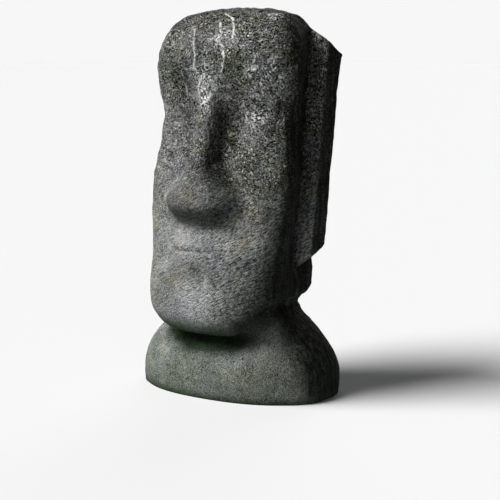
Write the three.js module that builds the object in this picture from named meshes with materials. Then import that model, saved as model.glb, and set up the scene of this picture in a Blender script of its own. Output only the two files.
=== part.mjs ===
// A stone moai: the head, neck and shoulders of a standing statue, cut off flat at the ground.
// One block of volcanic tuff, so one solid. Millimetres, +Z up, the face looks along -Y.
// The origin is on the underside, in the middle of the shoulders.
import * as THREE from "three";
import { mergeVertices } from "three/addons/utils/BufferGeometryUtils.js";

const { clamp, lerp, smoothstep } = THREE.MathUtils;

// The quarry block that the statue is carved from: how finely each side is divided.
const ACROSS = 24;
const DEEP = 16;
const ROWS_PER_LEVEL = 2;
const HEIGHT = 3200;
// The crown is highest this far behind the middle.
const CROWN_BACK = 190;

// The trunk and the jaw's edge. front and back are [y, z] on the middle line, side is [x, z], nape is half
// the width at the back, and square tells a round section (2) from a boxy one (6).
const TRUNK = {
  ground: { front: [-600, 0], side: [872, 0], back: [590, 0], nape: 872, square: 2.3 },
  belly: { front: [-625, 170], side: [870, 185], back: [600, 180], nape: 870, square: 2.3 },
  shoulder: { front: [-595, 345], side: [800, 385], back: [555, 370], nape: 800, square: 2.3 },
  collar: { front: [-500, 455], side: [665, 550], back: [470, 530], nape: 665, square: 2.3 },
  neckRoot: { front: [-400, 520], side: [530, 665], back: [390, 665], nape: 530, square: 2.4 },
  neck: { front: [-375, 555], side: [480, 738], back: [348, 778], nape: 472, square: 2.6 },
  underJaw: { front: [-490, 545], side: [524, 785], back: [366, 868], nape: 490, square: 3.2 },
  jawEdge: { front: [-592, 550], side: [570, 822], back: [398, 955], nape: 514, square: 4.4 },
};

// The head, level by level: how far the face is in front of the axis, half the width of the face, and square.
// Where no nape is given, it follows from BACK.
const HEAD = {
  chinEdge: { z: 655, front: 675, side: 634, square: 3.8, nape: 560 },
  chin: { z: 840, front: 692, side: 649, square: 3.6, nape: 556 },
  underLip: { z: 1070, front: 646, side: 657, square: 3.5 },
  lowerLip: { z: 1180, front: 634, side: 665, square: 3.5 },
  mouth: { z: 1248, front: 626, side: 672, square: 3.5 },
  upperLip: { z: 1325, front: 615, side: 682, square: 3.5 },
  philtrum: { z: 1450, front: 587, side: 697, square: 3.6 },
  noseBase: { z: 1570, front: 556, side: 710, square: 3.7 },
  noseTip: { z: 1690, front: 527, side: 721, square: 3.7 },
  wing: { z: 1850, front: 492, side: 726, square: 3.6 },
  cheek: { z: 2050, front: 438, side: 700, square: 3.4 },
  cheekbone: { z: 2256, front: 416, side: 690, square: 2.9 },
  eye: { z: 2430, front: 430, side: 700, square: 2.6 },
  browEdge: { z: 2600, front: 470, side: 718, square: 2.7 },
  brow: { z: 2705, front: 510, side: 722, square: 2.8 },
  forehead: { z: 2815, front: 504, side: 715, square: 2.7 },
  hairline: { z: 2930, front: 452, side: 684, square: 2.6 },
  temple: { z: 3042, front: 358, side: 620, square: 2.5 },
  crownEdge: { z: 3134, front: 240, side: 512, square: 2.45 },
};

// Below the nose the levels climb toward the back, along the jaw. Its corner at the statue's left hand is
// lifted by as much as lift between the heights low and high.
const JAW = {
  below: 1450, sideRise: 0.22, backRise: 0.5, lift: 85, inner: 260, outer: 540, low: 560, high: 800,
};
// The ends of the brow hang lower than its middle, and the one at the statue's right hand lower still.
const BROW = { z: 2590, height: 190, dropRight: 100, dropLeft: 30, inner: 280, outer: 660 };
// The back of the head leans with the ears and is narrower than the face. corner is where its side wall ends.
const BACK = {
  atTop: 655, lean: 0.12, half: 522, square: 3.6, corner: 0.92, roundFrom: 2850, roundedTo: 440,
};

// A long nose, narrow at the bridge, which flares into broad wings above a steep underside.
const NOSE = {
  base: 1412, tip: 1675, bridge: 2720, height: 222, ridge: 50, foot: 152, spread: 8, round: 0.6,
};
const WINGS = { low: 1650, high: 2000, ridge: 190, foot: 245, rise: 185, full: 0.65 };
// Hollows at the inner corners of the eyes, under the brow.
const EYE = { x: 215, z: 2300, width: 110, height: 190, depth: 52 };
// Thin lips on a soft swelling between the nose and the chin.
const LIPS = { z: 1245, height: 180, line: 1248, half: 200, swell: 54, groove: 11 };
// Long slabs down the sides of the head, behind a hollow at the back of the cheek.
const EAR = {
  bottom: 1110, top: 2988, front: 252, lean: 0.122, width: 250, outer: 684, taper: 0.016, edge: 34,
};
// The hollow in front of the ear, and how much the ear's top and bottom edges slope toward the back.
const EAR_FRAME = { hollow: 420, topDrop: 142, bottomRise: 62, height: 140 };

const bump = (distance) => Math.exp(-distance * distance);
const rising = (value, at, edge) => smoothstep(value, at - edge / 2, at + edge / 2);
const between = (value, low, high, edge) => rising(value, low, edge) * (1 - rising(value, high, edge));

// The middle line, the side and the back of every level, as smooth curves from the ground to the crown.
const climb = (z, rise) => z + Math.max(0, JAW.below - z) * rise;
const crowning = (z) => Math.pow(clamp((z - BACK.roundFrom) / (HEIGHT - BACK.roundFrom), 0, 1), 1.4);
const backOfHead = (z) => lerp(BACK.atTop - (EAR.top - z) * BACK.lean, BACK.roundedTo, crowning(z));
const levels = [
  ...Object.values(TRUNK),
  ...Object.values(HEAD).map(({ z, front, side, square, nape }) => ({
    front: [-front, z],
    side: [side, climb(z, JAW.sideRise)],
    back: [backOfHead(climb(z, JAW.backRise)), climb(z, JAW.backRise)],
    nape: nape ?? Math.min(BACK.half, side * lerp(0.86, 0.8, crowning(z))),
    square,
  })),
];
const pointOf = (pair) => new THREE.Vector2(...pair);
const curve = (pairOf) => new THREE.SplineCurve(levels.map((level) => pointOf(pairOf(level))));
const frontLine = curve(({ front }) => front);
const sideLine = curve(({ side }) => side);
const backLine = curve(({ back }) => back);
const sectionLine = curve(({ square, nape }) => [square, nape]);

// Half the width of the nose's ridge and of its foot.
const down = (z) => clamp((NOSE.bridge - z) / (NOSE.bridge - NOSE.tip), 0, 1);
const flare = (z) => 1 - smoothstep(z, WINGS.low, WINGS.high);
const ridgeHalf = (z) => NOSE.ridge + WINGS.ridge * flare(z);
const footHalf = (z) => NOSE.foot + NOSE.spread * down(z) + WINGS.foot * flare(z);

// How far the nose, the eye hollows and the lips move the face, at a distance x from the middle line.
// The nose's underside leaves the face steeply and rounds into its tip, and its base climbs to the wings.
const quarterWave = (share) => Math.sin((clamp(share, 0, 1) * Math.PI) / 2);
function nose(x, z) {
  const base = NOSE.base + WINGS.rise * Math.min(1, Math.pow(x / footHalf(z), 2));
  const height = NOSE.height * quarterWave(down(z)) * quarterWave((z - base) / (NOSE.tip - base));
  const top = ridgeHalf(z) * NOSE.round;
  const out = clamp((x - top) / (footHalf(z) - top), 0, 1);
  const [soft, full] = [1 - smoothstep(out, 0, 1), 1 - Math.pow(out, 2.4)];
  return height * lerp(soft, full, WINGS.full * flare(z));
}
const eyeHollow = (x, z) => EYE.depth * bump((x - EYE.x) / EYE.width) * bump((z - EYE.z) / EYE.height);
function lips(x, z) {
  const across = bump(Math.pow(x / LIPS.half, 2));
  const swelling = bump(Math.pow((z - LIPS.z) / LIPS.height, 2));
  return across * (LIPS.swell * swelling - LIPS.groove * bump((z - LIPS.line) / 26));
}

// Where the ear starts and ends at a height, kept inside the back corner.
function earSpan(z, backCorner) {
  const front = clamp(EAR.front - (EAR.top - z) * EAR.lean, -100, backCorner * 0.47);
  return [front, Math.min(front + EAR.width, backCorner * 0.93)];
}
const earOuter = (z) => EAR.outer - (EAR.top - z) * EAR.taper;

// The side of the head at a depth: the cheek, the hollow behind it, the ear and the nape.
function sideWall(y, z, cheek, nape, frontCorner, [front, rear]) {
  const hollowFrom = Math.max(front - EAR_FRAME.hollow, frontCorner);
  const wall = lerp(cheek, nape, smoothstep(y, hollowFrom, front));
  const ear = between(y, front, rear, EAR.edge) * between(z, EAR.bottom, EAR.top, EAR.edge);
  return lerp(wall, Math.max(wall, earOuter(z)), ear);
}

// Levels dip under the ends of the brow, rise at the jaw's corner and slope along the ears' ends.
function warp(x, y, z) {
  const end = smoothstep(Math.abs(x), BROW.inner, BROW.outer) * clamp(-y / 250, 0, 1);
  const drop = x < 0 ? BROW.dropRight : BROW.dropLeft;
  const brow = drop * end * bump((z - BROW.z) / BROW.height);
  const corner = smoothstep(x, JAW.inner, JAW.outer) * clamp(-y / 400, 0, 1);
  const jaw = JAW.lift * corner * rising(z, JAW.low, 90) * (1 - rising(z, JAW.high, 300));
  const [front, rear] = earSpan(z, BACK.atTop * BACK.corner);
  const behind = smoothstep(y, front, rear);
  const top = EAR_FRAME.topDrop * behind * bump((z - EAR.top) / EAR_FRAME.height);
  const bottom = EAR_FRAME.bottomRise * behind * bump((z - EAR.bottom) / EAR_FRAME.height);
  return z - brow + jaw - top + bottom;
}

// Columns of the block land on the edges of the nose and of the ear: each stop is [share of the side, place].
function stretch(stops, share) {
  const next = Math.max(1, stops.findIndex(([stop]) => stop >= share - 1e-9));
  const [[from, first], [to, last]] = [stops[next - 1], stops[next]];
  return lerp(first, last, (share - from) / (to - from));
}
const faceStops = (z, corner) => [
  [0, 0],
  [2 / 12, Math.min(ridgeHalf(z), corner * 0.3)],
  [6 / 12, Math.min(footHalf(z), corner * 0.65)],
  [1, corner],
];
const sideStops = (frontCorner, backCorner, [front, rear]) => [
  [0, frontCorner],
  [3 / 16, Math.max(front - EAR_FRAME.hollow, frontCorner * 0.8)],
  [7 / 16, front - EAR.edge / 2],
  [8 / 16, front + EAR.edge / 2],
  [11 / 16, rear - EAR.edge / 2],
  [12 / 16, rear + EAR.edge / 2],
  [1, backCorner],
];

// A section between round and boxy: how wide it is at a share of its depth, and where its corner is.
const archOf = (share, square) => Math.pow(Math.max(0, 1 - Math.pow(Math.abs(share), square)), 1 / square);
const cornerOf = (square) => Math.pow(2, -1 / square);

// The outline of one level at a place on the block's rim (s across, t deep, one of them -1 or 1).
function rim(s, t, share) {
  const [front, side, back] = [frontLine, sideLine, backLine].map((line) => line.getPoint(share));
  const { x: square, y: backHalf } = sectionLine.getPoint(share);
  const backSquare = lerp(square, lerp(BACK.square, 2.4, crowning(side.y)), smoothstep(side.y, 820, 1000));
  let x = 0;
  let y = 0;
  let carving = 0;
  if (Math.abs(t) < 1) {
    const frontCorner = front.x * cornerOf(square);
    const backCorner = back.x * BACK.corner;
    const span = earSpan(side.y, backCorner);
    y = stretch(sideStops(frontCorner, backCorner, span), (t + 1) / 2);
    const cheek = side.x * (y < 0 ? archOf(y / front.x, square) : 1);
    const nape = backHalf * (y > 0 ? archOf(y / back.x, backSquare) : 1);
    x = Math.sign(s) * sideWall(y, side.y, cheek, nape, frontCorner, span);
  } else if (t < 0) {
    x = Math.sign(s) * stretch(faceStops(side.y, side.x * cornerOf(square)), Math.abs(s));
    y = front.x * archOf(x / side.x, square);
    carving = 1;
  } else {
    x = backHalf * archOf(BACK.corner, backSquare) * s;
    y = back.x * archOf(x / backHalf, backSquare);
  }
  const end = y < 0 ? front : back;
  const z = lerp(side.y, end.y, Math.pow(y / end.x, y < 0 ? 3.2 : 2));
  if (carving) y -= nose(Math.abs(x), z) + lips(Math.abs(x), z) - eyeHollow(Math.abs(x), z);
  return new THREE.Vector3(x, y, warp(x, y, z));
}

// Where a point of the block ends up on the statue. share is how far up the levels it is.
function carve(s, t, share) {
  const reach = Math.max(Math.abs(s), Math.abs(t));
  if (reach === 0) return share < 0.5 ? new THREE.Vector3() : new THREE.Vector3(0, CROWN_BACK, HEIGHT);
  const edge = rim(s / reach, t / reach, share);
  if (share < 0.5) return new THREE.Vector3(edge.x * reach, edge.y * reach, edge.z);
  const dome = HEIGHT - (HEIGHT - edge.z) * Math.pow(reach, 2.6);
  return new THREE.Vector3(edge.x * reach, edge.y * reach + CROWN_BACK * (1 - reach), dome);
}

// Each four-sided face is cut along its shorter diagonal, so both sides of the statue get the same edges.
function cutFaces(block) {
  const index = block.getIndex();
  const place = (i) => new THREE.Vector3().fromBufferAttribute(block.getAttribute("position"), index.getX(i));
  for (let i = 0; i < index.count; i += 6) {
    const [a, b, d, c] = [i, i + 1, i + 2, i + 4].map((at) => index.getX(at));
    if (place(i).distanceTo(place(i + 4)) > place(i + 1).distanceTo(place(i + 2))) continue;
    [a, b, c, a, c, d].forEach((corner, at) => index.setX(i + at, corner));
  }
}

// The block is one closed box whose vertices are moved, so the statue is one closed solid.
function makeStatue() {
  const rows = (levels.length - 1) * ROWS_PER_LEVEL;
  const block = new THREE.BoxGeometry(2, 2, 1, ACROSS, DEEP, rows);
  const places = block.getAttribute("position");
  for (let i = 0; i < places.count; i++) {
    const point = carve(places.getX(i), places.getY(i), places.getZ(i) + 0.5);
    places.setXYZ(i, point.x, point.y, point.z);
  }
  cutFaces(block);
  block.deleteAttribute("normal");
  block.deleteAttribute("uv");
  const closed = mergeVertices(block, 1e-3);
  closed.computeVertexNormals();
  return closed;
}

const tuff = new THREE.MeshStandardMaterial({ color: 0x6e6f69, roughness: 0.95, metalness: 0 });
const statue = new THREE.Mesh(makeStatue(), tuff);
statue.name = "moai";

const part = new THREE.Group();
part.add(statue);
export default part;
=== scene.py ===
# %% [markdown]
# # A moai in Blender
# A moai is one block of volcanic tuff, quarried lying on its back, carved with stone picks and
# then stood up outdoors for centuries. This lesson takes the plain carved solid of such a
# statue, turns it into a weathered stone skin, gives it a stone finish made only of nodes, and
# sets it in a plain studio. Lengths are metres, +Z is up, the face looks along -Y and the
# statue's own left side is +X.

# %% Load the solid
import math

import bmesh
import bpy
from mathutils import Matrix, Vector, noise
from mathutils.bvhtree import BVHTree


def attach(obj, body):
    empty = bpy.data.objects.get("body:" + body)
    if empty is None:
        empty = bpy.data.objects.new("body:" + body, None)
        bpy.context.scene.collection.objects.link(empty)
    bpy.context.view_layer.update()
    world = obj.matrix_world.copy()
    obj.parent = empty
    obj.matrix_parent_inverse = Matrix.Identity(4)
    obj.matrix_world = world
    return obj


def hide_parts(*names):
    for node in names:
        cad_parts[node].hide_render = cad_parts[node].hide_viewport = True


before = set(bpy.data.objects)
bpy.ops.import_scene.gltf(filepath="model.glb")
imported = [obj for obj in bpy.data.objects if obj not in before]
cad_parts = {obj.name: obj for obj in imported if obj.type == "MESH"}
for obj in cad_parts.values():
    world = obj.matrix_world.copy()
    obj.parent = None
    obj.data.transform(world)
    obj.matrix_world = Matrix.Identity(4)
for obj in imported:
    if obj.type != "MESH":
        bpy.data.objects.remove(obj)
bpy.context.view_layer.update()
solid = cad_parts["moai"]

# %% [markdown]
# ## The camera
# The statue is seen from its left front, a little above its chin, by someone standing about
# four statue heights away. A camera is an object that looks along its own -Z, so a direction
# turned into a rotation with `to_track_quat` aims it. The aim passes a hand's width beside the
# statue's axis, which puts the statue slightly left of the middle as a photographer would.

# %% Place the camera
PICTURE = 500
METRES_PER_PIXEL = 0.0084
FOCAL_PIXELS = 1500
CAMERA_TURN = math.radians(35)
CAMERA_PITCH = math.radians(8.9)
CAMERA_HEIGHT = 374 * METRES_PER_PIXEL
AIM_ASIDE = 8 / FOCAL_PIXELS
UP = Vector((0, 0, 1))

bpy.context.scene.view_settings.view_transform = "Standard"

towards_camera = Vector((math.sin(CAMERA_TURN), -math.cos(CAMERA_TURN), 0))
camera_right = Vector((math.cos(CAMERA_TURN), math.sin(CAMERA_TURN), 0))
camera_data = bpy.data.cameras.new("camera")
camera_data.sensor_width = 36
camera_data.lens = 36 * FOCAL_PIXELS / PICTURE
camera_data.clip_end = 500
camera = bpy.data.objects.new("camera", camera_data)
bpy.context.collection.objects.link(camera)
bpy.context.scene.camera = camera
camera.location = towards_camera * FOCAL_PIXELS * METRES_PER_PIXEL + UP * CAMERA_HEIGHT
aim = -towards_camera * math.cos(CAMERA_PITCH) - UP * math.sin(CAMERA_PITCH)
camera.rotation_mode = "QUATERNION"
camera.rotation_quaternion = (aim + camera_right * AIM_ASIDE).to_track_quat("-Z", "Y")
print("camera at", [round(c, 2) for c in camera.location], "lens", camera_data.lens)

# %% [markdown]
# ## The light
# One broad key light stands high to the statue's right, so the nose, brow and chin throw soft
# shadows across the face and the left side falls into shade. A sun lamp with a wide angle does
# that evenly over the whole height. A low fill shines up from in front and opens the underside of
# the nose, a weak fill from the side keeps form in the shade, and a lamp behind draws the far edge.


# %% Set the lamps
def lamp(name, azimuth, elevation, strength, softness, colour=(1, 1, 1)):
    """A sun lamp that shines from an azimuth (0 is in front of the face, 90 its left side)."""
    data = bpy.data.lights.new(name, "SUN")
    data.energy, data.angle, data.color = strength, math.radians(softness), colour
    holder = bpy.data.objects.new(name, data)
    bpy.context.collection.objects.link(holder)
    a, e = math.radians(azimuth), math.radians(elevation)
    source = Vector((math.sin(a) * math.cos(e), -math.cos(a) * math.cos(e), math.sin(e)))
    holder.rotation_mode = "QUATERNION"
    holder.rotation_quaternion = (-source).to_track_quat("-Z", "Y")
    print("lamp", name, "strength", strength)
    return holder


lamp("key", -43, 46, 7.6, 34)
lamp("low fill", 2, -14, 1.40, 30, (0.95, 1, 0.94))
lamp("side fill", 44, 8, 0.38, 30)
lamp("back", 200, 28, 0.7, 40)

# %% [markdown]
# ## The studio
# The floor is one wide pale disc. A pale sky closes the view above it. The sky is bright for
# the camera and dim as a light, through the world's Light Path node, so the shaded side of the
# stone stays dark. The floor throws no light back either, as dull ground would, and it blocks
# none, which lets the low fill through.

# %% Make the floor and the sky
FLOOR_RADIUS = 90
PALE = (0.49, 0.49, 0.49, 1)

disc = bmesh.new()
bmesh.ops.create_circle(disc, cap_ends=True, radius=FLOOR_RADIUS, segments=96)
floor = bpy.data.objects.new("studio_floor", bpy.data.meshes.new("studio_floor"))
disc.to_mesh(floor.data)
disc.free()
bpy.context.collection.objects.link(floor)
floor_paint = bpy.data.materials.new("pale_floor")
floor_paint.use_nodes = True
floor_shader = floor_paint.node_tree.nodes["Principled BSDF"]
floor_shader.inputs["Base Color"].default_value = PALE
floor_shader.inputs["Roughness"].default_value = 0.9
floor_shader.inputs["Specular IOR Level"].default_value = 0.1
floor.data.materials.append(floor_paint)
floor.visible_diffuse = False
floor.visible_shadow = False

sky = bpy.data.worlds.new("pale_sky")
bpy.context.scene.world = sky
sky.use_nodes = True
sky_nodes = sky.node_tree
seen = sky_nodes.nodes["Background"]
seen.inputs["Color"].default_value = (0.93, 0.93, 0.93, 1)
shining = sky_nodes.nodes.new("ShaderNodeBackground")
shining.inputs["Color"].default_value = (0.92, 0.97, 1, 1)
shining.inputs["Strength"].default_value = 0.045
which_ray = sky_nodes.nodes.new("ShaderNodeLightPath")
either = sky_nodes.nodes.new("ShaderNodeMixShader")
sky_nodes.links.new(which_ray.outputs["Is Camera Ray"], either.inputs["Fac"])
sky_nodes.links.new(shining.outputs[0], either.inputs[1])
sky_nodes.links.new(seen.outputs[0], either.inputs[2])
sky_nodes.links.new(either.outputs[0], sky_nodes.nodes["World Output"].inputs["Surface"])
print("floor", 2 * FLOOR_RADIUS, "m across, sky set")

# %% [markdown]
# ## Rough stone to carved skin
# The solid is a cage of flat facets. Its copy is merged, because loose triangles can't be
# smoothed together, and pairs of triangles are joined back into four-sided faces, which
# subdivide evenly. A Subdivision Surface then rounds the cage. Rounding always cuts corners, so
# each corner of the cage is first pushed out by what it would lose, and the skin keeps the
# solid's size. The foot's rim is creased, so that it stays flat on the ground.

# %% Copy the solid and join its faces
SMOOTHING = 2
MOST_PUSH = 0.020
EDGE_ANGLE = math.radians(38)
EDGE_HOLD = 0.55

cage = bmesh.new()
cage.from_mesh(solid.data)
bmesh.ops.remove_doubles(cage, verts=cage.verts, dist=0.0005)
bmesh.ops.join_triangles(
    cage, faces=cage.faces, angle_face_threshold=math.pi, angle_shape_threshold=math.pi
)
crease = cage.edges.layers.float.new("crease_edge")
for edge in cage.edges:
    downs = [face.normal.z < -0.99 for face in edge.link_faces]
    if any(downs) and not all(downs):
        edge[crease] = 1
    elif edge.calc_face_angle(0) > EDGE_ANGLE:
        edge[crease] = EDGE_HOLD
print("cage:", len(cage.faces), "faces,", sum(len(f.verts) == 4 for f in cage.faces), "four-sided")

# %% [markdown]
# Rain can't reach the places under the brow, the nose and the chin, and the finish darkens them
# green-black: painted shade of those recesses, tinted as damp stone. Open stone is washed and
# bleached. From each corner of the cage some rays go up to the sky; the share that the statue
# itself blocks is kept on the mesh as `shelter`, which the finish reads later. It is worked out on
# the coarse cage because the darkening has soft edges. A second number is kept the same way: how
# far a corner faces away from the key light, where the finish paints shade as black lichen. So is
# `overhang`, how far it faces down, where the finish paints shade as moss.

# %% Measure how sheltered each corner is
RAY_TURNS = 12
RAY_HEIGHTS = (20, 42, 66)
RAY_START = 0.02
RAY_LENGTH = 1.5
# Faces turned this way are away from the key light; the finish paints shade on them as black lichen.
AWAY_FROM_KEY = Vector((0.86, 0.30, 0.40))

sky_rays = []
for height in RAY_HEIGHTS:
    for turn in range(RAY_TURNS):
        a, e = math.tau * (turn + height / 90) / RAY_TURNS, math.radians(height)
        sky_rays.append(Vector((math.cos(a) * math.cos(e), math.sin(a) * math.cos(e), math.sin(e))))
blocker = BVHTree.FromBMesh(cage)
shelter = cage.verts.layers.float.new("shelter")
away_from_key = cage.verts.layers.float.new("away_from_key")
overhang = cage.verts.layers.float.new("overhang")
for v in cage.verts:
    start = v.co + v.normal * RAY_START
    blocked = sum(
        ray.dot(v.normal) < 0 or blocker.ray_cast(start, ray, RAY_LENGTH)[0] is not None
        for ray in sky_rays
    )
    v[shelter] = blocked / len(sky_rays)
    v[away_from_key] = max(0, v.normal.dot(AWAY_FROM_KEY))
    v[overhang] = max(0, -v.normal.z)
print("shelter: mean", round(sum(v[shelter] for v in cage.verts) / len(cage.verts), 3))

# %% Round the cage without losing size
moai = bpy.data.objects.new("moai_stone", bpy.data.meshes.new("moai_stone"))
bpy.context.collection.objects.link(moai)
cage.to_mesh(moai.data)
cage.free()
rounder = moai.modifiers.new("rounder", "SUBSURF")
rounder.levels = rounder.render_levels = SMOOTHING


def rounded():
    """The mesh that the rounder makes of the cage as it stands now."""
    bpy.context.view_layer.update()
    graph = bpy.context.evaluated_depsgraph_get()
    return bpy.data.meshes.new_from_object(moai.evaluated_get(graph))


corners = [v.co.copy() for v in moai.data.vertices]
skin = rounded()
for v, corner in zip(moai.data.vertices, corners):
    push = corner - skin.vertices[v.index].co
    v.co += push * min(1, MOST_PUSH / max(push.length, 1e-6))
skin = rounded()
moai.modifiers.clear()
moai.data = skin
skin.name = "moai_stone"
print("skin:", len(skin.vertices), "points,", 2 * len(skin.polygons), "triangles")

# %% [markdown]
# ## Weathering
# Tuff is pressed volcanic ash with hard bits in it. Stone picks left it dimpled, and weather
# has since worn it into broad swells, small lumps and pits. Each of these is a pattern that
# tells how deep the surface lies at a place, and every point of the skin moves along its own
# normal by their sum. The forehead is roughest, and the lower face was rubbed smooth.


# %% Wear the skin
def ramp(value, low, high):
    """0 below low, 1 above high, and smooth between."""
    share = min(1, max(0, (value - low) / (high - low)))
    return share * share * (3 - 2 * share)


def swells(place):
    return noise.fractal(place * 2.4, 1, 2, 3) * 0.010


def lumps(place):
    return noise.fractal(place * 9 + Vector((3, 7, 1)), 0.75, 2.1, 4) * 0.0085


def pick_dimples(place):
    """Shallow dishes side by side, as a stone pick leaves them."""
    near = noise.voronoi(place * 11)[0][0]
    return (near * near - 0.2) * 0.010


def pits(place):
    """Holes where hard bits fell out, in some of the cells of a coarse pattern."""
    distances, centres = noise.voronoi(place * 13 + Vector((9, 2, 5)))
    chosen = noise.cell(centres[0] * 5.7) > 0.3
    return -0.008 * (1 - ramp(distances[0], 0.10, 0.32)) if chosen else 0


def roughness(place):
    """How rough the stone is at a height: most on the forehead, least round the mouth."""
    face = ramp(-place.y, 0.1, 0.4)
    rubbed = face * (1 - ramp(place.z, 1.75, 2.35))
    ears = ramp(place.y, 0.0, 0.15) * ramp(abs(place.x), 0.45, 0.55)
    return 1 - 0.65 * max(rubbed, ears)


stone = bmesh.new()
stone.from_mesh(moai.data)
for v in stone.verts:
    grounded = ramp(v.co.z, 0.0, 0.12)
    depth = swells(v.co) + roughness(v.co) * (lumps(v.co) + pick_dimples(v.co) + pits(v.co))
    v.co += v.normal * depth * grounded
stone.to_mesh(moai.data)
stone.free()
print("weathered", len(moai.data.vertices), "points")

# %% [markdown]
# ## The stone's finish
# Everything is mixed from nodes that read the object's own coordinates, in metres, so the
# pattern has its true scale and stays put on the stone. Short helpers keep the recipe readable:
# `add` makes a node and wires it, and the rest are named for what they do. The same few lines
# are used for every stain and every painted shade: a band of heights, times a band across or
# deep, is a place.

# %% Helpers for the recipe
tuff = bpy.data.materials.new("weathered_tuff")
tuff.use_nodes = True
recipe = tuff.node_tree
shader = recipe.nodes["Principled BSDF"]


def wire(socket, value):
    """Sets a socket to a number or colour, or links another node's output to it."""
    if isinstance(value, bpy.types.NodeSocket):
        recipe.links.new(value, socket)
    else:
        socket.default_value = value


def add(kind, settings=(), **inputs):
    """A node of the recipe. Inputs go by name, with _ for a space."""
    made = recipe.nodes.new("ShaderNode" + kind)
    for name, value in dict(settings).items():
        setattr(made, name, value)
    for name, value in inputs.items():
        wire(made.inputs[name.replace("_", " ")], value)
    return made


def calc(operation, *values):
    """A Math node on up to three values."""
    made = recipe.nodes.new("ShaderNodeMath")
    made.operation = operation
    for socket, value in zip(made.inputs, values):
        wire(socket, value)
    return made.outputs[0]


def between(value, low, high, to_low=0.0, to_high=1.0):
    """A smooth step from low to high."""
    made = add("MapRange", {"interpolation_type": "SMOOTHSTEP"}, Value=value, From_Min=low,
               From_Max=high, To_Min=to_low, To_Max=to_high)
    return made.outputs["Result"]


def cloud(scale, detail, coarse, where, twist=0.0):
    """Noise: scale is lumps to the metre, coarse is how strong its small detail is."""
    made = add("TexNoise", Scale=scale, Detail=detail, Roughness=coarse, Distortion=twist, Vector=where)
    return made.outputs["Fac"]


def times(first, *others):
    """The product of two or more values."""
    for other in others:
        first = calc("MULTIPLY", first, other)
    return first


def beside(value, middle, inner, outer, strength=1.0):
    """A band: full strength up to inner away from the middle, and nothing past outer."""
    away = calc("ABSOLUTE", calc("SUBTRACT", value, middle))
    return between(away, inner, outer, strength, 0)


def folded(pattern, thin, wide):
    """A net of lines where a noise passes through its middle value."""
    return beside(pattern, 0.5, thin, wide)


def laid_over(under, colour, amount, blend="MIX"):
    """A colour laid over another, or multiplied into it, by an amount between 0 and 1."""
    made = recipe.nodes.new("ShaderNodeMix")
    made.data_type, made.blend_type = "RGBA", blend
    wire(made.inputs["Factor"], amount)
    wire(made.inputs[6], under)
    wire(made.inputs[7], colour)
    return made.outputs[2]


def shades(value, stops):
    """A colour ramp: stops are (position, (red, green, blue))."""
    made = add("ValToRGB", Fac=value)
    for at, (position, colour) in enumerate(stops):
        stop = made.color_ramp.elements[at] if at < 2 else made.color_ramp.elements.new(position)
        stop.position, stop.color = position, (*colour, 1)
    return made.outputs["Color"]


def stretched(scale, turn=(0, 0, 0)):
    """The stone's coordinates, turned and then squeezed, so that a noise on them is drawn out."""
    turned = add("Mapping", Vector=place, Rotation=turn).outputs["Vector"]
    return add("Mapping", Vector=turned, Scale=scale).outputs["Vector"]


place = add("TexCoord").outputs["Object"]
across, deep, height = add("SeparateXYZ", Vector=place).outputs
sheltered = add("Attribute", {"attribute_name": "shelter"}).outputs["Fac"]
turned_from_key = add("Attribute", {"attribute_name": "away_from_key"}).outputs["Fac"]
hanging = add("Attribute", {"attribute_name": "overhang"}).outputs["Fac"]
print("recipe started:", tuff.name)

# %% [markdown]
# Tuff shows its mixture at every size: patches as wide as a hand, mottling as wide as a thumb
# and grit. The weathered upper half is also crackled: a noise is folded at its middle value,
# which leaves a net of thin pale lines. The lower face carries the slanting strokes and scratches
# of its last rubbing, made by noises that are drawn out along the slant. `upper` tells where the
# weathered stone is. The tip of the nose was handled smooth, so it keeps little of it.

# %% The patterns
STROKE_TURN = (0, math.radians(32), 0)
patches = cloud(6.5, 2, 0.5, place, 0.5)
blotches = cloud(10, 3, 0.6, place, 1.0)
mottle = cloud(62, 2, 0.6, place, 1.5)
grit = cloud(120, 1, 0.5, place, 0.5)
crackle = folded(cloud(38, 1, 0.5, place, 2.0), 0.010, 0.060)
strokes = cloud(1, 1, 0.5, stretched((30, 30, 112), STROKE_TURN), 0.3)
scratches = folded(cloud(1, 1, 0.5, stretched((5, 5, 30), STROKE_TURN), 0.3), 0.004, 0.035)
ragged = calc("MULTIPLY_ADD", cloud(3.5, 5, 0.65, place), 1.3, height)
nose_tip = times(
    between(height, 1.55, 2.2, 1, 0), between(height, 1.40, 1.46), between(deep, -0.64, -0.56, 1, 0)
)
upper = times(between(ragged, 1.95, 3.0), between(nose_tip, 0, 1, 1, 0.25))
lower_face = times(calc("SUBTRACT", 1, upper), between(height, 0.6, 0.75))
trunk = between(height, 0.55, 0.65, 1, 0)
print("patches, blotches, mottle, grit, crackle, strokes and scratches")

# %% [markdown]
# The patterns are added into one `tone`, and a colour ramp turns tone into colour. One ramp is
# the clean, paler stone of the lower face. The other is the weathered stone above, which is
# darker and greener and has pale grains. A soft, ragged border joins them. Faint tints of olive,
# lilac and brown are then multiplied in, in wide patches.

# %% Two stones, one tone
def more(tone, pattern, middle, amount):
    """The tone, raised where a pattern is above its middle value and lowered where below."""
    return calc("MULTIPLY_ADD", calc("SUBTRACT", pattern, middle), amount, tone)


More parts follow.
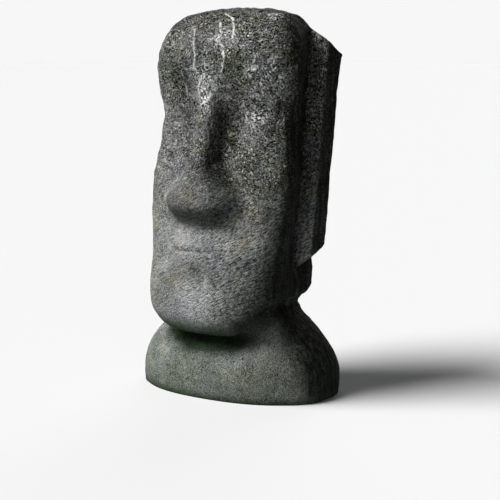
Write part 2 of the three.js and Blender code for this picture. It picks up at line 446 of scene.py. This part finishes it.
tone = calc("MULTIPLY_ADD", patches, 0.6, 0.2)
tone = more(tone, blotches, 0.5, times(upper, 0.6))
tone = more(tone, mottle, 0.5, calc("MULTIPLY_ADD", calc("MAXIMUM", upper, trunk), 1.0, 0.1))
tone = more(tone, grit, 0.5, calc("MULTIPLY_ADD", upper, 0.6, 1.6))
tone = more(tone, crackle, 0.44, times(upper, 1.4))
tone = more(tone, strokes, 0.5, times(lower_face, between(across, -0.2, 0.35, 0.7, 2.0)))
tone = more(tone, scratches, 0.2, times(lower_face, 0.18))
clean = shades(tone, [
    (0.10, (0.024, 0.026, 0.023)),
    (0.62, (0.200, 0.204, 0.198)),
    (0.38, (0.124, 0.127, 0.121)),
    (1.00, (0.38, 0.38, 0.38)),
])
weathered = shades(tone, [
    (0.22, (0.005, 0.005, 0.002)),
    (0.60, (0.160, 0.162, 0.140)),
    (0.42, (0.042, 0.045, 0.024)),
    (0.90, (0.80, 0.80, 0.79)),
])
colour = laid_over(clean, weathered, upper)
OLIVE, LILAC, BROWN = (1.0, 0.995, 0.86, 1), (0.93, 0.925, 1.0, 1), (1.0, 0.94, 0.85, 1)
olive = times(between(cloud(7, 2, 0.5, place), 0.45, 0.62), upper)
lilac = between(cloud(4, 2, 0.5, stretched((1, 1, 1.4))), 0.48, 0.62)
brown = times(between(cloud(5, 2, 0.5, place), 0.52, 0.66), lower_face)
for tint, where in (OLIVE, olive), (LILAC, lilac), (BROWN, brown):
    colour = laid_over(colour, tint, where, "MULTIPLY")
print("clean and weathered stone mixed by height")

# %% [markdown]
# Small round pores pock the stone. Voronoi cells give them even spacing, and a slow noise
# chooses where they show, so that they come in drifts.

# %% Pores
PORE = (0.012, 0.013, 0.011, 1)
pore_cells = add("TexVoronoi", Vector=place, Scale=24).outputs["Distance"]
pore_drift = between(cloud(7, 4, 0.65, place), 0.45, 0.62)
pores = times(between(pore_cells, 0.10, 0.22, 1, 0), pore_drift)
colour = laid_over(colour, PORE, times(pores, 0.9))
print("pores laid")

# %% [markdown]
# The sheltered places get a damp green-grey, which is painted shade of the recesses. The stone
# grows darker and greener towards the foot. Faces that point down, most under the chin and
# thinner under the nose, get a moss green, which is painted shade under the overhangs. The lower
# nose is darkened towards its underside, painted shade of its turned-down front. Each of these is
# multiplied into the colour, so that the grain of the stone shows through. The front edge of the
# left ear is kept clear of the painted shade, a painted lit strip: it leans back as it rises, so its
# place is measured from a slanted line.

# %% Damp, soil and moss
DAMP_SHADE = (0.48, 0.52, 0.48, 1)
NOSE_SHADE = (0.46, 0.455, 0.47, 1)
FOOT_TINT = (0.50, 0.56, 0.44, 1)
MOSS_AND_SHADE = (0.42, 0.52, 0.42, 1)
EAR_LEAN, EAR_START = 0.122, -0.113

# The front edge of the left ear is kept clear of the painted shade, which paints it as a lit strip.
from_ear = calc("SUBTRACT", deep, calc("MULTIPLY_ADD", height, EAR_LEAN, EAR_START))
lit_ear_edge = times(
    between(from_ear, -0.06, -0.03), between(from_ear, 0.01, 0.06, 1, 0),
    between(across, 0.51, 0.56), between(height, 1.0, 1.15)
)
clear_of_shade = between(lit_ear_edge, 0, 1, 1, 0.1)
# damp green-grey where the sky is blocked: painted shade of the recesses
damp_and_shade = times(between(sheltered, 0.52, 0.90), between(height, 2.2, 2.5, 1, 0.3), clear_of_shade)
# darker and greener towards the foot
uneven_height = calc("SUBTRACT", height, times(cloud(5, 5, 0.65, place), 0.5))
towards_foot = between(uneven_height, -0.1, 0.55, 0.8, 0)
# moss green on faces that point down: painted shade under the overhangs
moss_and_shade = times(between(hanging, 0.12, 0.70), between(height, 1.1, 1.3, 0.8, 0.15))
colour = laid_over(colour, DAMP_SHADE, damp_and_shade, "MULTIPLY")
# the lower nose darkened towards its underside: painted shade of its turned-down front
colour = laid_over(colour, NOSE_SHADE, times(nose_tip, 0.8), "MULTIPLY")
colour = laid_over(colour, FOOT_TINT, towards_foot, "MULTIPLY")
colour = laid_over(colour, MOSS_AND_SHADE, moss_and_shade, "MULTIPLY")
print("damp, soil and moss laid")

# %% [markdown]
# Darker bands follow the carving: a ragged band of painted shadow along the brow, a green painted
# shadow where the chin shades the neck, and painted shade below the left eye and on the left of
# the jaw, which are turned from the key light. The side turned from the key light is darkened
# further with painted shade, drawn as black lichen in streaks that run down it.

# %% Bands, grime and lichen
BROW_SHADOW_HEIGHT = 2.75
NECK_SHADOW = (0.08, 0.15, 0.07, 1)
FACE_SIDE_SHADE = (0.38, 0.40, 0.36, 1)
LICHEN_AND_SHADE = (0.08, 0.10, 0.065, 1)

frayed = times(calc("SUBTRACT", cloud(11, 4, 0.65, place), 0.5), 0.30)
front = between(deep, -0.12, -0.02, 1, 0)
# a ragged band of painted shadow along the brow
brow_shadow = times(beside(calc("ADD", height, frayed), BROW_SHADOW_HEIGHT, 0.03, 0.11, 0.85), front)
# green painted shadow where the chin shades the neck
neck_shadow = times(
    between(height, 0.20, 0.36), between(height, 0.50, 0.60, 1, 0),
    between(across, 0.30, 0.55, 1, 0), between(sheltered, 0.45, 0.75)
)
# painted shade below the left eye and on the left of the jaw, turned from the key light
shaded_below_eye = times(
    between(across, 0.0, 0.6), between(height, 2.35, 2.55, 1, 0), between(height, 1.2, 1.4), 0.45
)
shaded_jaw = times(
    between(height, 0.9, 1.5, 1, 0), between(height, 0.50, 0.65), between(across, 0.0, 0.45)
)
streaks = cloud(1, 3, 0.6, stretched((26, 26, 2.5)))
# painted shade on the side turned from the key light, drawn as streaks of black lichen
lichen_and_shade = times(
    between(turned_from_key, 0.30, 0.80), between(cloud(6, 5, 0.7, place), 0.15, 0.45),
    between(streaks, 0.40, 0.62, 1, 0.6), clear_of_shade
)
colour = laid_over(colour, DAMP_SHADE, brow_shadow, "MULTIPLY")
colour = laid_over(colour, NECK_SHADOW, neck_shadow, "MULTIPLY")
colour = laid_over(colour, FACE_SIDE_SHADE, times(calc("MAXIMUM", shaded_jaw, shaded_below_eye), front), "MULTIPLY")
colour = laid_over(colour, LICHEN_AND_SHADE, lichen_and_shade, "MULTIPLY")
print("brow, neck, grime and lichen laid")

# %% [markdown]
# Some places are washed or rubbed paler: the forehead, the ridge of the nose, the cheeks, the
# lips and the front of the chin. Under the left end of the brow the paling is painted light, which
# lifts the shade there. Others, at the bridge, the brow and the forehead, are overgrown with curly
# crusts of lichen, which are a noise folded at its middle value. Each place is a soft ball around
# a point, and where two overlap, the stronger one counts.

# %% Pale places and curly crusts
PALE_PLACES = [
    # centre, radius, how much it is washed, how much it is crusted
    ((-0.21, -0.43, 2.94), 0.24, 0.40, 0.10),
    ((0.11, -0.42, 2.95), 0.16, 0.00, 0.60),
    ((0.42, -0.14, 3.13), 0.10, 0.00, 0.70),
    ((0.00, -0.50, 2.58), 0.25, 0.10, 1.00),
    # painted light: lifts the shade under the left end of the brow
    ((0.54, -0.40, 2.63), 0.25, 0.80, 1.00),
    ((0.41, -0.38, 2.34), 0.12, 0.25, 0.90),
    ((0.00, -0.56, 2.25), 0.16, 0.30, 0.10),
    ((0.36, -0.40, 2.24), 0.17, 0.35, 0.20),
    ((-0.34, -0.40, 2.22), 0.30, 0.65, 0.10),
    ((-0.34, -0.46, 1.80), 0.28, 0.35, 0.00),
    ((-0.10, -0.66, 1.28), 0.28, 0.22, 0.00),
    ((0.00, -0.69, 0.80), 0.26, 0.25, 0.00),
]
WASHED_AND_LIT = (0.40, 0.40, 0.42, 1)
CRUST = (0.95, 0.95, 0.95, 1)
UNDER_CRUST = (0.25, 0.25, 0.20, 1)
curls = folded(cloud(16, 1, 0.5, place, 2.5), 0.02, 0.06)
washed_and_lit, crusted = 0, 0
for centre, radius, washing, crusting in PALE_PLACES:
    away = add("VectorMath", {"operation": "DISTANCE"})
    wire(away.inputs[0], place)
    wire(away.inputs[1], centre)
    near = between(calc("ADD", away.outputs["Value"], frayed), radius * 0.3, radius, 1, 0)
    washed_and_lit = calc("MAXIMUM", washed_and_lit, times(near, washing))
    crusted = calc("MAXIMUM", crusted, times(near, crusting))
crust_lines = times(crusted, curls)
under_crust = times(calc("SUBTRACT", crusted, washed_and_lit), 0.6)
colour = laid_over(colour, WASHED_AND_LIT, times(washed_and_lit, between(tone, 0.0, 0.5)))
colour = laid_over(colour, UNDER_CRUST, under_crust, "MULTIPLY")
colour = laid_over(colour, CRUST, crust_lines)
print(len(PALE_PLACES), "pale places")

# %% [markdown]
# The line between the lips is darkened, broken up by a noise, and so is the hollow under the
# lower lip: painted shade in the crease and in the hollow.

# %% Mouth
MOUTH_SHADE = (0.030, 0.030, 0.024, 1)
LIP_LINE, LIP_MIDDLE, LIP_HALF, HOLLOW = 1.245, -0.08, 0.20, 1.08

on_mouth = times(beside(across, LIP_MIDDLE, LIP_HALF * 0.6, LIP_HALF), front)
wavy = calc("MULTIPLY_ADD", calc("SUBTRACT", cloud(12, 3, 0.6, place), 0.5), 0.05, height)
line_breaks = between(cloud(26, 3, 0.6, place), 0.36, 0.56, 0.2, 0.8)
lip_line = times(beside(wavy, LIP_LINE, 0.006, 0.020), line_breaks)
hollow = beside(height, HOLLOW, 0.02, 0.15, 0.30)
# painted shade in the lip line and in the hollow under the lower lip
colour = laid_over(colour, MOUTH_SHADE, times(calc("MAXIMUM", lip_line, hollow), on_mouth))
print("mouth stained")

# %% [markdown]
# Rain has drawn pale mineral runs down from the crown and off the brow. Each run is a thin
# wavering line on the front of the head, given by the points (across, height) that it passes
# through, and a noise breaks it up.

# %% Pale runs
RUNS = [
    # half width, strength, then the points from the top down
    (0.006, 0.60, (-0.217, 3.03), (-0.149, 2.926), (-0.113, 2.822), (-0.106, 2.70)),
    (0.008, 0.90, (-0.032, 3.154), (0.085, 3.118), (0.158, 3.052), (0.211, 2.965)),
    (0.009, 0.85, (0.003, 3.078), (0.08, 2.994), (0.068, 2.938), (0.143, 2.894), (0.166, 2.837)),
    (0.007, 0.80, (0.166, 2.837), (0.177, 2.771), (0.152, 2.69)),
    (0.006, 0.50, (0.435, 2.84), (0.446, 2.807), (0.431, 2.767)),
    (0.007, 0.50, (-0.062, 2.62), (-0.092, 2.52)),
    (0.007, 0.55, (0.093, 2.66), (0.065, 2.585), (0.057, 2.493)),
    (0.006, 0.45, (-0.251, 2.585), (-0.254, 2.50)),
]
RUN_COLOUR = (0.84, 0.84, 0.85, 1)
waver = times(calc("SUBTRACT", cloud(24, 4, 0.7, place), 0.5), 0.055)
broken = between(cloud(38, 3, 0.7, place), 0.36, 0.54)
wavering = calc("ADD", across, waver)
runs = 0
for half, strength, *points in RUNS:
    for (start, top), (end, bottom) in zip(points, points[1:]):
        middle = add("MapRange", Value=height, From_Min=bottom, From_Max=top, To_Min=end,
                     To_Max=start).outputs["Result"]
        run = times(
            beside(wavering, middle, half * 0.6, half * 1.8, strength),
            between(height, bottom - half, bottom), between(height, top, top + half, 1, 0)
        )
        runs = calc("MAXIMUM", runs, run)
colour = laid_over(colour, RUN_COLOUR, times(runs, front, broken))
print(len(RUNS), "pale runs")

# %% [markdown]
# ## Fine relief
# Relief smaller than the mesh's own faces comes from a Bump node: the mottling, the grit, the
# crackle, the strokes and the crusts stand up a little, and the scratches and pores sink in.

# %% Bump
relief = times(grit, 0.30)
for pattern, amount in (
    (mottle, calc("MULTIPLY_ADD", upper, 0.4, 0.1)), (strokes, times(lower_face, 0.5)),
    (scratches, times(lower_face, -0.12)), (crackle, times(upper, 0.42)),
    (crust_lines, 0.25), (pores, -0.5)
):
    relief = calc("MULTIPLY_ADD", pattern, amount, relief)
bump = add("Bump", Strength=1.0, Distance=0.035, Height=relief)
wire(shader.inputs["Normal"], bump.outputs["Normal"])
wire(shader.inputs["Base Color"], colour)
wire(shader.inputs["Roughness"], between(mottle, 0.35, 0.65, 0.97, 0.84))
shader.inputs["Specular IOR Level"].default_value = 0.10
print("recipe:", len(recipe.nodes), "nodes")

# %% [markdown]
# ## Finish
# The piece stands in for the solid and rides with the statue's one body.

# %% Hand the piece over
for polygon in moai.data.polygons:
    polygon.use_smooth = True
moai.data.materials.clear()
moai.data.materials.append(tuff)
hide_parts("moai")
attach(moai, "root")
